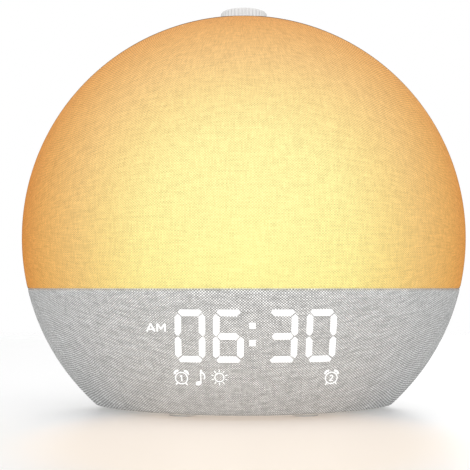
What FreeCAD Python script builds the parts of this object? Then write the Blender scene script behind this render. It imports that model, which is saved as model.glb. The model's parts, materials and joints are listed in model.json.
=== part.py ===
import FreeCAD, Part
import math
import os

# A sunrise alarm clock: a round cloth-covered lamp with a domed front, a flat foot and a knob on top.
# Millimetres, +Z up. The front faces -Y and +X is on the viewer's right. The origin is on the table, in the
# middle of the whole clock. Places behind the rim are called back, measured along +Y from the rim's plane.

V = FreeCAD.Vector
UP = V(0, 0, 1)
BACK = V(0, 1, 0)

# Overall form
rim_r = 92.5            # the cloth's radius at the rim
dome_h = 64.4           # the front's bulge ahead of the rim
foot_cut = 22.7         # how much of the round the flat bottom cuts away
seam_up = 48.8          # the cloth seam above the flat bottom
rear_depth = 32.0       # the back cover behind the rim
rear_corner = 20.0      # the round between its band and its flat back
rear_inset = 0.3        # the back cover's band inside the cloth's rim
foot_h = 1.3            # the pads below the shells

# Cloth, walls and gaps
cloth_t = 0.8
cloth_air = 0.15        # between the cloth and the shell that carries it
seam_gap = 0.3          # between the two cloths
shell_wall = 2.0        # both front shells
rear_wall = 2.2
seat_gap = 0.3          # loose fit between two mouldings
board_t = 1.6           # every circuit board
screw_fit = 0.05        # a screw's shank in its hole, radial
screw_end_gap = 0.5     # between a screw's tip and the end of its hole
board_gap = 0.4         # a board's edge to a curved wall

# Chassis
plate_t = 2.2
reveal_t = 1.0          # the plate's edge between the front and the back cover
reveal_inset = 0.5      # how far that edge lies inside the back cover's band
rib_h = 3.0             # locating rib inside the front shells
rib_t = 1.5

# Back cover's fittings, measured from the rim's centre
case_screw_across = 0.584   # to each side, as a share of the rim's radius
case_screw_rise = 0.411     # up and down, as a share of the rim's radius
case_post_r = 4.0
case_joint_back = 20.0  # where the cover's bosses meet the chassis posts
case_screw_len = 14.0
case_thread = 10.0      # how deep its hole goes into the post
case_shank_r = 1.5
case_head_r = 2.8
case_head_h = 1.8
head_sink = 0.6         # the heads below the cover's face

slot_w = 1.8            # sound slots
slot_count = 9
slot_field_r = 17.5
slot_field_edge = 1.9   # from the outer slots' middle to the field's edge

# Speaker behind the slots
speaker_flange_r = 24.0
speaker_flange_t = 1.5
speaker_seat_h = 3.0
speaker_seat_t = 2.5
gasket_t = 0.5
cone_r = 17.0
cone_t = 0.5
cone_edge = 1.2         # the surround's rim that lies on the frame
basket_depth = 7.0
basket_wall = 1.0
basket_floor_in = 1.5   # the floor's radius inside the magnet's
basket_hole_r = 3.5
basket_windows = 4
basket_window_w = 8.0
cone_gap = 1.4          # between the cone's low end and the basket's floor
roll_w = 1.4            # half of the surround's roll
roll_h = 0.8
magnet_r = 13.0
magnet_h = 6.5
magnet_plate_t = 1.2
pole_r = 3.0
pole_h = 1.4
dust_cap_r = 5.5
dust_cap_h = 2.0
speaker_tab_in = 3.0    # the lead's place inside the flange's edge
speaker_tab_drop = 3.0
speaker_screw_r = 21.6

# Rear buttons
button_count = 5
button_end_room = 15.0  # from the outer buttons to the ends of their board
button_row_up = 47.0
button_r = 4.5
button_proud = 1.0
button_crown = 0.5
button_travel = 0.5
button_fit = 0.3        # the cap in its hole, radial
button_flange_w = 1.2
button_flange_t = 0.8
button_stem_r = 2.2
button_stem_len = 1.5   # between the switch and the flange
button_pin_r = 1.5
button_pin_fit = 0.08
switch_size = 6.0
switch_h = 3.6
switch_bore_depth = 3.0
button_board_w = 90.0
button_board_h = 14.0
board_screw_edge = 4.0  # a screw's middle from the edges of every board

# Main board, on bosses of the back cover
main_board_back = 16.4
main_board_w = 88.0
main_board_h = 38.0
main_board_drop = 35.0  # its middle below the rim's centre
boss_r = 3.0
board_thread = 6.0      # how deep a small screw's hole goes
small_shank_r = 1.1
small_head_r = 2.2
small_head_h = 1.4
jack_drop = 46.0
jack_w = 9.4
jack_nose_r = 4.2
jack_bore_r = 3.1
jack_bore_depth = 9.0
jack_pin_r = 1.0
jack_pin_set = 1.2      # the pin's tip inside the cover's face
jack_nose_set = 0.2
jack_fit = 0.3
cell_r = 10.0
cell_t = 3.2
cell_cup_wall = 1.2
cell_cup_floor = 0.6
cell_cup_lip = 0.2      # the cup above the cell
finger_gap_w = 8.0
finger_gap_in = 2.0     # how far the gap reaches over the cell
cell_x = -26.0
cell_drop = 2.0
plug_w = 7.0            # the small lead connectors
plug_h = 5.0
plug_d = 4.0
side_plug_x = 30.0      # the lamp's and the speaker's plugs
side_plug_up = 6.0
mid_plug_drop = 2.0     # the display's plug
chip_across = 0.18      # the chips' places, as shares of the main board's width and height
chip_rise = 0.25
chip_w = 10.0
chip_small_w = 7.0
chip_t = 1.3
coil_w = 7.0
coil_h = 4.0
coil_x = 27.5
coil_drop = 11.5
capacitor_r = 3.15
capacitor_h = 7.7
capacitor_pitch = 8.0
capacitor_x = 20.0      # the middle one
capacitor_up = 3.0

# Lamp board, on the chassis
lamp_board_w = 100.0
lamp_board_h = 30.0
lamp_mid_over_seam = 22.0
lamp_plug_in = 10.0     # its connector from the board's end
lamp_led_end = 10.0     # the outer lamps from the board's ends
lamp_led_side = 6.0     # and from its long sides
lamp_columns = 8
lamp_rows = 3
lamp_led_w = 3.5
lamp_led_t = 0.8
shelf_t = 1.6

# Display, measured up from the flat bottom; places across are shares of the housing's width
digit_h = 20.0
digit_w = 11.5
digit_stroke = 2.5
digit_lean = 0.035      # sideways for each unit of height
digit_mid_up = 31.8
digit_shares = (-0.2513, -0.0692, 0.1782, 0.3615)
colon_share = 0.0397
colon_size = 2.6
colon_half_gap = 3.2
sign_up = 15.8          # the row of small signs
sign_share = 0.082      # their size
sign_shares = (-0.2897, -0.2, -0.1141, 0.4051)
half_day_share = -0.4051
half_day_w = 8.2
half_day_h = 4.0
half_day_up = 34.9
segment_gap = 0.35
display_side = 10.5     # the board beyond each side of the housing
display_top_up = 43.8
display_bottom_up = 11.2
display_board_over = 1.0    # the board above and below the housing
display_back = -34.0    # where the housing meets its board
display_board_w = 99.0
lens_fit = 0.06
lens_recess = 2.0       # the space for the light sources behind each lens
display_boss_r = 2.6
display_boss_ups = (38.8, 25.8)
display_thread = 4.0
display_led_w = 1.4
display_led_t = 0.7
display_plug_up = 28.8
cable_window_w = 44.0   # the chassis opening round the display's lead
cable_window_h = 22.0

# Knob and encoder, on the vertical at knob_back
knob_back = 15.0
knob_r = 9.9
knob_shoulder = 1.3
knob_crown = 0.5
knob_ribs = 36
knob_groove_r = 0.5
knob_groove_depth = 0.36
knob_top_over_rim = 5.4
knob_travel = 0.7
knob_lift = 1.2         # the skirt above the well's floor
knob_foot = 0.4         # the small bevel round its lower edge
knob_roof_t = 1.2       # above the shaft's end
knob_cavity_r = 7.0
well_drop = 3.3         # the well's floor below the top of the rim
well_r = 11.3
bush_r = 3.5
bush_h = 2.6            # above the well's floor
bush_fit = 0.15
nut_flats = 10.0
nut_h = 2.0
nut_fit = 0.04
shaft_r = 3.0
shaft_fit = 0.06
shaft_flat = 1.5        # cut off the round for the knob's grip
knob_grip_fit = 0.02
encoder_size = 12.0
encoder_h = 6.5
encoder_floor = 0.7
encoder_roof = 1.0
collar_w = 0.8          # the shaft's collar inside the encoder
collar_h = 1.4
collar_gap = 0.4
plunger_gap = 0.1
plunger_room = 0.6
encoder_board_w = 18.0
encoder_board_d = 15.0
plunger_r = 3.6
plunger_t = 1.5
plunger_pin_r = 1.0
plunger_pin_h = 1.2

# Foot
base_t = 2.5
base_recess = 0.3       # the plate above the shells' flat bottom
pad_r = 6.0
pad_step = 0.4          # the small step round a pad's foot
pad_front_x = 24.0
pad_front_in = 16.45    # behind the foot's front edge
pad_rear_in = 20.7      # inside the foot's side edges
pad_rear_back = 18.0
base_screw_x = 44.0
base_boss_r = 3.5
base_boss_h = 10.0
boss_end = 1.5          # left above a screw's hole
ballast_w = 66.0
ballast_d = 20.0
ballast_h = 5.0
ballast_gap = 1.5
lead_r = 1.3
lead_bend = 3.0
long_bend = 18.0
lead_straight = 4.2     # before its first and after its last bend
long_straight = 12.0

# What follows from the sizes above
sphere_r = (rim_r ** 2 + dome_h ** 2) / (2 * dome_h)
sphere_back = sphere_r - dome_h
centre_up = rim_r - foot_cut
rim_y = (dome_h - rear_depth - button_proud) / 2
centre_z = foot_h + centre_up
seam_z = foot_h + seam_up
shell_r = sphere_r - cloth_t - cloth_air
inside_r = shell_r - shell_wall
rear_r = rim_r - rear_inset
wall_back = rear_depth - rear_wall
base_low = foot_h + base_recess
base_top = base_low + base_t
well_z = centre_z + rim_r - well_drop
knob_top = centre_z + rim_r + knob_top_over_rim
knob_shaft_top = knob_top - knob_roof_t
case_screw_x = case_screw_across * rim_r
case_screw_up = case_screw_rise * rim_r
slot_pitch = 2 * (slot_field_r - slot_field_edge) / (slot_count - 1)
button_pitch = (button_board_w - 2 * button_end_room) / (button_count - 1)
main_mid = centre_z - main_board_drop
lamp_mid = seam_z + lamp_mid_over_seam
lamp_plug_x = lamp_board_w / 2 - lamp_plug_in
display_w = display_board_w - 2 * display_side
sign_size = sign_share * display_w
digit_mid = foot_h + digit_mid_up
display_plug_z = foot_h + display_plug_up
base_screw_back = seat_gap - base_boss_r
front_edge = sphere_back - math.sqrt(sphere_r ** 2 - centre_up ** 2)
side_edge = math.sqrt(rim_r ** 2 - centre_up ** 2)
far = 3 * rim_r

# Levels of the parts behind the back wall
flange_back = wall_back - speaker_seat_h - gasket_t - speaker_flange_t
basket_floor = flange_back - basket_depth
button_flange_back = wall_back - seat_gap - button_flange_t
switch_top = button_flange_back - 2 * seat_gap - button_travel - button_stem_len
button_board_back = switch_top - switch_h - board_t
main_board_rear = main_board_back + board_t

# Heights in the encoder, from its face under the well's floor
encoder_top = well_z - rear_wall
cavity_top = encoder_top - encoder_roof
shaft_end = cavity_top - collar_gap - collar_h
cavity_low = encoder_top - encoder_h + encoder_floor


def at(x, back, z):
    """A point, with back measured from the rim's plane."""
    return V(x, rim_y + back, z)


def block(x0, x1, back0, back1, z0, z1):
    return Part.makeBox(x1 - x0, back1 - back0, z1 - z0, at(x0, back0, z0))


def bar(r, x, back0, back1, z):
    """A cylinder that runs from front to back."""
    return Part.makeCylinder(r, back1 - back0, at(x, back0, z), BACK)


def pillar(r, x, back, z0, z1):
    """An upright cylinder."""
    return Part.makeCylinder(r, z1 - z0, at(x, back, z0), UP)


def joined(shapes):
    whole = shapes[0]
    return whole.fuse(shapes[1:]).removeSplitter() if len(shapes) > 1 else whole


def turned(outline, centre, axis):
    """A closed outline of edges, turned once round an axis."""
    return Part.Face(Part.Wire(outline)).revolve(centre, axis, 360)


def chain(points):
    """Straight edges through points, closed."""
    loop = points + points[:1]
    return [Part.makeLine(a, b) for a, b in zip(loop, loop[1:])]


def dome_drop(half_width, rise, r):
    """How far a round crown, rise high over half_width, has dropped at radius r."""
    curve = (half_width ** 2 + rise ** 2) / (2 * rise)
    return curve - math.sqrt(curve ** 2 - r ** 2)


def ball(r):
    return Part.makeSphere(r, at(0, sphere_back, centre_z))


def ahead(z0, z1):
    """Everything in front of the rim's plane between two heights."""
    return block(-far, far, -far, 0, z0, z1)


def dome_skin(outer, thickness, z0, z1):
    return ball(outer).cut(ball(outer - thickness)).common(ahead(z0, z1))


def rear_form(inset, back0):
    """The back cover's outer form, or a form inside it by inset, from back0 to its back."""
    r = rear_r - inset
    end = rear_depth - inset
    corner = rear_corner - inset
    less = corner * (1 - math.sin(math.pi / 4))
    mid = at(r - less, end - less, centre_z)
    a, b = at(0, back0, centre_z), at(r, back0, centre_z)
    c, d = at(r, end - corner, centre_z), at(r - corner, end, centre_z)
    e = at(0, end, centre_z)
    outline = [Part.makeLine(a, b), Part.makeLine(b, c), Part.Arc(c, mid, d).toShape(),
               Part.makeLine(d, e), Part.makeLine(e, a)]
    return turned(outline, at(0, 0, centre_z), BACK)


def slot(x0, x1, back0, back1, z, width):
    """A straight slot with round ends, cut from front to back."""
    half = width / 2
    return joined([block(x0 + half, x1 - half, back0, back1, z - half, z + half),
                   bar(half, x0 + half, back0, back1, z), bar(half, x1 - half, back0, back1, z)])


def screw(shank_r, length, head_r, head_h, seat, direction, cross=False):
    """A round-headed screw whose head sits on seat and whose shank runs along direction."""
    shank = Part.makeCylinder(shank_r, length, seat, direction)
    rim = 0.5 * head_h
    head = Part.makeCylinder(head_r, rim, seat - direction * rim, direction)
    dome = Part.makeCone(0.6 * head_r, head_r, head_h - rim, seat - direction * head_h, direction)
    whole = joined([shank, head, dome])
    if cross:
        half, wide = 0.5 * head_r, 0.12 * head_r
        for a, b in ((half, wide), (wide, half)):
            tool = Part.makeBox(2 * a, 0.6 * head_h, 2 * b, V(-a, 0, -b))
            tool.Placement = FreeCAD.Placement(seat - direction * head_h, FreeCAD.Rotation(BACK, direction))
            whole = whole.cut(tool)
    return whole


def case_places():
    return [(sx * case_screw_x, centre_z + sz * case_screw_up) for sx in (-1, 1) for sz in (-1, 1)]


def board_corners(w, h, mid_z):
    """Where four screws sit in the corners of a board."""
    x, z = w / 2 - board_screw_edge, h / 2 - board_screw_edge
    return [(sx * x, mid_z + sz * z) for sx in (-1, 1) for sz in (-1, 1)]


def main_places():
    return board_corners(main_board_w, main_board_h, main_mid)


def lamp_screw_places():
    return board_corners(lamp_board_w, lamp_board_h, lamp_mid)


def button_places():
    first = -(button_count - 1) / 2 * button_pitch
    return [(first + i * button_pitch, centre_z + button_row_up) for i in range(button_count)]


def button_screw_places():
    x = button_board_w / 2 - board_screw_edge
    return [(s * x, centre_z + button_row_up) for s in (-1, 1)]


def base_screw_places():
    return [(s * base_screw_x, base_screw_back) for s in (-1, 0, 1)]


def speaker_places():
    out = speaker_screw_r / math.sqrt(2)
    return [(sx * out, centre_z + sz * out) for sx in (-1, 1) for sz in (-1, 1)]


def display_places():
    x = display_board_w / 2 - board_screw_edge
    return [(s * x, foot_h + up) for s in (-1, 1) for up in display_boss_ups]


# Cloth and front shells

def lamp_cloth():
    return dome_skin(sphere_r, cloth_t, seam_z + seam_gap / 2, far)


def base_cloth():
    return dome_skin(sphere_r, cloth_t, foot_h, seam_z - seam_gap / 2)


def diffuser_dome():
    return dome_skin(shell_r, shell_wall, seam_z, far)


def display_window(gap):
    half = display_w / 2 + gap
    low, high = foot_h + display_bottom_up - gap, foot_h + display_top_up + gap
    return block(-half, half, -far, display_back, low, high)


def base_front_shell():
    """The lower front moulding: a dome band with the display window and four bosses for the display board."""
    shell = dome_skin(shell_r, shell_wall, foot_h, seam_z).cut(display_window(seat_gap))
    inside = ball(inside_r + shell_wall / 2)
    bosses = [bar(display_boss_r, x, -far, display_back, z).common(inside) for x, z in display_places()]
    whole = joined([shell] + bosses)
    for x, z in display_places():
        whole = whole.cut(bar(small_shank_r + screw_fit, x, display_back - display_thread, display_back, z))
    return whole


# Chassis

def chassis():
    """The plate at the rim: edge reveal, locating rib, posts for the back cover and bosses for the foot."""
    above = block(-far, far, -far, far, base_top, far)
    plate = bar(rear_r - reveal_inset, 0, 0, reveal_t, centre_z)
    inner = bar(rear_r - rear_wall - seat_gap, 0, 0, plate_t, centre_z)
    rib_out = math.sqrt((inside_r - seat_gap) ** 2 - (sphere_back + rib_h) ** 2)
    rib = bar(rib_out, 0, -rib_h, 0, centre_z).cut(bar(rib_out - rib_t, 0, -rib_h, 0, centre_z))
    posts = [bar(case_post_r, x, plate_t, case_joint_back, z) for x, z in case_places()]
    feet = [pillar(base_boss_r, x, back, base_top, base_top + base_boss_h) for x, back in base_screw_places()]
    whole = joined([plate, inner, rib] + posts + feet).common(above)
    shelf_half = shelf_t / 2 + seat_gap
    whole = whole.cut(block(-far, far, -2 * rib_h, 0, seam_z - shelf_half, seam_z + shelf_half))
    for x, z in case_places():
        whole = whole.cut(bar(case_shank_r + screw_fit, x, case_joint_back - case_thread, case_joint_back, z))
    hole_top = base_top + base_boss_h - boss_end
    for x, back in base_screw_places():
        whole = whole.cut(pillar(case_shank_r + screw_fit, x, back, base_top, hole_top))
    half_w, half_h = plug_w / 2 + seat_gap, plug_h / 2 + seat_gap
    whole = whole.cut(block(lamp_plug_x - half_w, lamp_plug_x + half_w, 0, plate_t, lamp_mid - half_h,
                            lamp_mid + half_h))
    whole = whole.cut(block(-cable_window_w / 2, cable_window_w / 2, 0, plate_t,
                            display_plug_z - cable_window_h / 2, display_plug_z + cable_window_h / 2))
    for x, z in lamp_screw_places():
        whole = whole.cut(bar(small_shank_r + screw_fit, x, 0, plate_t, z))
    return whole


def light_shelf():
    """The level wall between the lamp and the display, shaped to the inside of the shells."""
    slab = block(-far, far, -far, 0, seam_z - shelf_t / 2, seam_z + shelf_t / 2)
    return slab.common(ball(inside_r - seat_gap))


# Lamp

def led_board():
    """The lamp's board on the chassis, with the lead's connector behind it."""
    half = lamp_board_w / 2
    board = block(-half, half, -board_t, 0, lamp_mid - lamp_board_h / 2, lamp_mid + lamp_board_h / 2)
    plug = block(lamp_plug_x - plug_w / 2, lamp_plug_x + plug_w / 2, 0, plug_d, lamp_mid - plug_h / 2,
                 lamp_mid + plug_h / 2)
    whole = joined([board, plug])
    for x, z in lamp_screw_places():
        whole = whole.cut(bar(small_shank_r + screw_fit, x, -board_t, 0, z))
    return whole


def lamp_leds():
    step_x = (lamp_board_w - 2 * lamp_led_end) / (lamp_columns - 1)
    step_z = (lamp_board_h - 2 * lamp_led_side) / (lamp_rows - 1)
    half = lamp_led_w / 2
    chips = []
    for i in range(lamp_columns):
        for j in range(lamp_rows):
            x = (i - (lamp_columns - 1) / 2) * step_x
            z = lamp_mid + (j - (lamp_rows - 1) / 2) * step_z
            chips.append(block(x - half, x + half, -board_t - lamp_led_t, -board_t, z - half, z + half))
    return Part.makeCompound(chips)


# Display

def segment(x0, z0, x1, z1, width):
    """One bar of a digit with pointed ends, from one end point to the other, as a flat outline."""
    run = V(x1 - x0, 0, z1 - z0)
    along = run.normalize()
    side = V(-along.z, 0, along.x) * (width / 2)
    tip = along * (width / 2)
    a, b = V(x0, 0, z0), V(x1, 0, z1)
    return [a, a + tip + side, b - tip + side, b, b - tip - side, a + tip - side]


def digit_outlines(mid_x, mid_z, shrink):
    """The seven bars of one digit, leaning a little to the right."""
    w = (digit_w - digit_stroke) / 2
    h = (digit_h - digit_stroke) / 2
    g = segment_gap
    stroke = digit_stroke - 2 * shrink
    levels = [(-w, z, w, z) for z in (h, 0, -h)]
    sides = [(x, z, x, z + h) for z in (0, -h) for x in (-w, w)]
    outlines = []
    for x0, z0, x1, z1 in levels + sides:
        level = z0 == z1
        a = (x0 + g + shrink, z0) if level else (x0, z0 + g + shrink)
        b = (x1 - g - shrink, z1) if level else (x1, z1 - g - shrink)
        flat = segment(a[0], a[1], b[0], b[1], stroke)
        outlines.append([at(mid_x + p.x + digit_lean * p.z, display_back, mid_z + p.z) for p in flat])
    return outlines


def box_outline(mid_x, mid_z, w, h):
    return [at(mid_x + sx * w / 2, display_back, mid_z + sz * h / 2)
            for sx, sz in ((-1, -1), (1, -1), (1, 1), (-1, 1))]


def sign_outlines(shrink):
    """Every lit cell: four digits, the two dots, the half-day sign and the small signs."""
    cells = []
    for share in digit_shares:
        cells += digit_outlines(share * display_w, digit_mid, shrink)
    less = 2 * shrink
    for s in (-1, 1):
        cells.append(box_outline(colon_share * display_w, digit_mid + s * colon_half_gap, colon_size - less,
                                 colon_size - less))
    for share in sign_shares:
        cells.append(box_outline(share * display_w, foot_h + sign_up, sign_size - less, sign_size - less))
    half_day_x = half_day_share * display_w
    cells.append(box_outline(half_day_x, foot_h + half_day_up, half_day_w - less, half_day_h - less))
    return cells


def prisms(shrink, back0, back1):
    """The lit cells as straight prisms between two depths."""
    move = V(0, back0 - display_back, 0)
    made = []
    for points in sign_outlines(shrink):
        face = Part.Face(Part.makePolygon(points + points[:1]))
        made.append(face.translated(move).extrude(V(0, back1 - back0, 0)))
    return made


def display_body(gap):
    return display_window(gap).common(ball(shell_r)).common(block(-far, far, -far, display_back, 0, far))


def display_housing():
    """The opaque block behind the grey cloth, with one cell right through it for each lit bar and sign."""
    return display_body(0).cut(Part.makeCompound(prisms(0, -far, display_back)))


def segment_lenses():
    """The milky light guides in the cells."""
    body = display_body(0)
    lenses = [p.common(body) for p in prisms(lens_fit, -far, display_back - lens_recess)]
    return Part.makeCompound(lenses)


def display_leds():
    chips = []
    for points in sign_outlines(0):
        x = sum(p.x for p in points) / len(points)
        z = sum(p.z for p in points) / len(points)
        half = display_led_w / 2
        front = display_back - display_led_t
        chips.append(block(x - half, x + half, front, display_back, z - half, z + half))
    return Part.makeCompound(chips)


def display_board():
    half = display_board_w / 2
    low = foot_h + display_bottom_up - display_board_over
    high = foot_h + display_top_up + display_board_over
    board = block(-half, half, display_back, display_back + board_t, low, high)
    board = board.common(ball(inside_r - board_gap))
    plug = block(-plug_w / 2, plug_w / 2, display_back + board_t, display_back + board_t + plug_d,
                 display_plug_z - plug_h / 2, display_plug_z + plug_h / 2)
    whole = joined([board, plug])
    for x, z in display_places():
        whole = whole.cut(bar(small_shank_r + screw_fit, x, display_back, display_back + board_t, z))
    return whole


# Back cover and what it carries

def rear_shell():
    """The back cover: revolved shell, knob well, sound slots, button holes, inlet hole and inner bosses."""
    below = block(-far, far, -far, far, -far, foot_h)
    outer = rear_form(0, reveal_t)
    hollow = rear_form(rear_wall, 0)
    shell = outer.cut(hollow)
    pad = pillar(well_r + rear_wall, 0, knob_back, well_z - rear_wall, far).common(outer)
    pad = pad.cut(block(-far, far, -far, plate_t + seat_gap, 0, centre_z + rear_r - rear_wall))
    seats = [bar(slot_field_r + speaker_seat_t, 0, wall_back - speaker_seat_h, wall_back, centre_z).cut(
        bar(slot_field_r, 0, wall_back - speaker_seat_h, wall_back, centre_z))]
    bosses = [bar(boss_r, x, wall_back - speaker_seat_h, wall_back, z) for x, z in speaker_places()]
    bosses += [bar(case_post_r, x, case_joint_back, wall_back, z) for x, z in case_places()]
    bosses += [bar(boss_r, x, main_board_rear, wall_back, z) for x, z in main_places()]
    bosses += [bar(boss_r, x, button_board_back + board_t, wall_back, z) for x, z in button_screw_places()]
    whole = joined([shell, pad] + seats + bosses)
    cuts = [below, pillar(well_r, 0, knob_back, well_z, far),
            pillar(bush_r + bush_fit, 0, knob_back, encoder_top, well_z)]
    for i in range(slot_count):
        rise = (i - (slot_count - 1) / 2) * slot_pitch
        reach = math.sqrt(slot_field_r ** 2 - (abs(rise) + slot_w / 2) ** 2)
        cuts.append(slot(-reach, reach, wall_back, rear_depth, centre_z + rise, slot_w))
    for x, z in button_places():
        cuts.append(bar(button_r + button_fit, x, wall_back, rear_depth, z))
    cuts.append(bar(jack_nose_r + jack_fit, 0, wall_back, rear_depth, centre_z - jack_drop))
    head_back = rear_depth - head_sink
    for x, z in case_places():
        cuts.append(bar(case_shank_r + screw_fit, x, case_joint_back, rear_depth, z))
        cuts.append(bar(case_head_r + seat_gap, x, head_back - case_head_h, rear_depth, z))
    for x, z in speaker_places():
        cuts.append(bar(small_shank_r + screw_fit, x, wall_back - speaker_seat_h, wall_back, z))
    for x, z in main_places():
        cuts.append(bar(small_shank_r + screw_fit, x, main_board_rear, main_board_rear + board_thread, z))
    for x, z in button_screw_places():
        front = button_board_back + board_t
        cuts.append(bar(small_shank_r + screw_fit, x, front, wall_back - screw_end_gap, z))
    for cut in cuts:
        whole = whole.cut(cut)
    return whole


def speaker_gasket():
    back0 = wall_back - speaker_seat_h - gasket_t
    ring = bar(slot_field_r + speaker_seat_t, 0, back0, back0 + gasket_t, centre_z)
    return ring.cut(bar(cone_r + cone_edge + gasket_t / 2, 0, back0, back0 + gasket_t, centre_z))


def speaker_frame():
    """The pressed basket: screw flange, tapering wall with windows and the floor that holds the magnet."""
    top = flange_back + speaker_flange_t
    floor_r = magnet_r - basket_floor_in
    section = [(cone_r, flange_back), (speaker_flange_r, flange_back), (speaker_flange_r, top),
               (cone_r + basket_wall / 2, top), (floor_r, basket_floor + basket_wall),
               (basket_hole_r, basket_floor + basket_wall), (basket_hole_r, basket_floor),
               (floor_r + basket_wall, basket_floor)]
    frame = turned(chain([at(r, back, centre_z) for r, back in section]), at(0, 0, centre_z), BACK)
    half = basket_window_w / 2
    low, high = basket_floor + 2 * basket_wall, flange_back - basket_wall
    for i in range(basket_windows):
        window = block(magnet_r, cone_r, low, high, centre_z - half, centre_z + half)
        window.rotate(at(0, 0, centre_z), BACK, i * 360 / basket_windows)
        frame = frame.cut(window)
    for x, z in speaker_places():
        frame = frame.cut(bar(small_shank_r + screw_fit, x, flange_back, top, z))
    return frame


def speaker_cone():
    """Paper cone with its rolled surround and dust cap, turned as one thin skin."""
    low = flange_back + speaker_flange_t
    deep = basket_floor + basket_wall + cone_gap
    edge = cone_r + cone_edge
    roll = edge - 1.0
    section = [(edge, low), (roll, low), (roll - roll_w, low + roll_h), (roll - 2 * roll_w, low),
               (dust_cap_r, deep)]
    front = [at(r, back + cone_t, centre_z) for r, back in section]
    rear = [at(r, back, centre_z) for r, back in reversed(section)]
    cap = deep + dust_cap_h
    outline = chain(front + [at(0, cap + cone_t, centre_z), at(0, cap, centre_z)] + rear)
    return turned(outline, at(0, 0, centre_z), BACK)


def speaker_magnet():
    rear = basket_floor - magnet_h
    ring = bar(magnet_r, 0, rear + magnet_plate_t, basket_floor, centre_z)
    plate = bar(magnet_r - basket_wall, 0, rear, rear + magnet_plate_t, centre_z)
    pole = bar(pole_r, 0, basket_floor, basket_floor + pole_h, centre_z)
    return joined([ring, plate, pole])


def button(x, z):
    """One push button: domed cap, inner flange and the stem that ends in the switch."""
    crown = rear_depth + button_proud
    edge = crown - button_crown
    side = button_flange_back
    low = switch_top + seat_gap + button_travel
    pin_end = switch_top - switch_bore_depth + seat_gap + button_travel
    flange_r = button_r + button_fit + button_flange_w

    def p(r, back):
        return at(x + r, back, z)

    half_way = crown - dome_drop(button_r, button_crown, button_r / 2)
    arc = Part.Arc(p(button_r, edge), p(button_r / 2, half_way), p(0, crown)).toShape()
    corners = [p(0, pin_end), p(button_pin_r, pin_end), p(button_pin_r, low), p(button_stem_r, low),
               p(button_stem_r, side), p(flange_r, side), p(flange_r, side + button_flange_t),
               p(button_r, side + button_flange_t), p(button_r, edge)]
    edges = [Part.makeLine(a, b) for a, b in zip(corners, corners[1:])]
    return turned(edges + [arc, Part.makeLine(p(0, crown), corners[0])], at(x, 0, z), BACK)


def tact_switches():
    half = switch_size / 2
    bore_end = switch_top - switch_bore_depth
    made = []
    for x, z in button_places():
        body = block(x - half, x + half, switch_top - switch_h, switch_top, z - half, z + half)
        made.append(body.cut(bar(button_pin_r + button_pin_fit, x, bore_end, switch_top, z)))
    return Part.makeCompound(made)


def button_board():
    half = button_board_w / 2
    z = centre_z + button_row_up
    front, rear = button_board_back, button_board_back + board_t
    board = block(-half, half, front, rear, z - button_board_h / 2, z + button_board_h / 2)
    for x, z in button_screw_places():
        board = board.cut(bar(small_shank_r + screw_fit, x, front, rear, z))
    return board


def main_board():
    """The controller's board with its lead connectors on the front face."""
    half = main_board_w / 2
    board = block(-half, half, main_board_back, main_board_rear, main_mid - main_board_h / 2,
                  main_mid + main_board_h / 2)
    plugs = [block(x - plug_w / 2, x + plug_w / 2, main_board_back - plug_d, main_board_back, z - plug_h / 2,
                   z + plug_h / 2) for x, z in main_plugs()]
    whole = joined([board] + plugs)
    for x, z in main_places():
        whole = whole.cut(bar(small_shank_r + screw_fit, x, main_board_back, main_board_rear, z))
    return whole


def main_plugs():
    """Where the display, lamp and speaker leads plug in."""
    side_z = main_mid + side_plug_up
    return [(0, main_mid - mid_plug_drop), (side_plug_x, side_z), (-side_plug_x, side_z)]


def board_parts():
    """Chips, coil and capacitors on both faces of the main board."""
    front, rear = main_board_back, main_board_rear
    made = []
    for s, width in ((-1, chip_w), (1, chip_small_w)):
        half = width / 2
        for rise in (-1, 1):
            x, z = s * chip_across * main_board_w, main_mid + rise * chip_rise * main_board_h
            made.append(block(x - half, x + half, front - chip_t, front, z - half, z + half))
    half = coil_w / 2
    made.append(block(coil_x - half, coil_x + half, rear, rear + coil_h, main_mid - coil_drop - half,
                      main_mid - coil_drop + half))
    for i in (-1, 0, 1):
        made.append(bar(capacitor_r, capacitor_x + i * capacitor_pitch, rear, rear + capacitor_h,
                        main_mid + capacitor_up))
    return Part.makeCompound(made)


def cell_holder():
    """An open cup on the main board for the backup cell."""
    z = main_mid - cell_drop
    low = main_board_rear + cell_cup_floor
    top = low + cell_t + cell_cup_lip
    cup = bar(cell_r + cell_cup_wall, cell_x, main_board_rear, top, z)
    cup = cup.cut(bar(cell_r + seat_gap, cell_x, low, top, z))
    half = finger_gap_w / 2
    return cup.cut(block(cell_x - half, cell_x + half, low, top, z + cell_r - finger_gap_in,
                         z + cell_r + finger_gap_in))


def coin_cell():
    low = main_board_rear + cell_cup_floor
    return bar(cell_r, cell_x, low, low + cell_t, main_mid - cell_drop)


def dc_jack():
    """The power inlet: square body on the board, round nose in the cover and a centre pin."""
    z = centre_z - jack_drop
    half = jack_w / 2
    body = block(-half, half, main_board_rear, wall_back - seat_gap, z - half, z + half)
    face = rear_depth - jack_nose_set
    nose = bar(jack_nose_r, 0, wall_back - seat_gap, face, z)
    bore = bar(jack_bore_r, 0, face - jack_bore_depth, face, z)
    pin = bar(jack_pin_r, 0, face - jack_bore_depth, rear_depth - jack_pin_set, z)
    return joined([joined([body, nose]).cut(bore), pin])


# Knob and encoder

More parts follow.
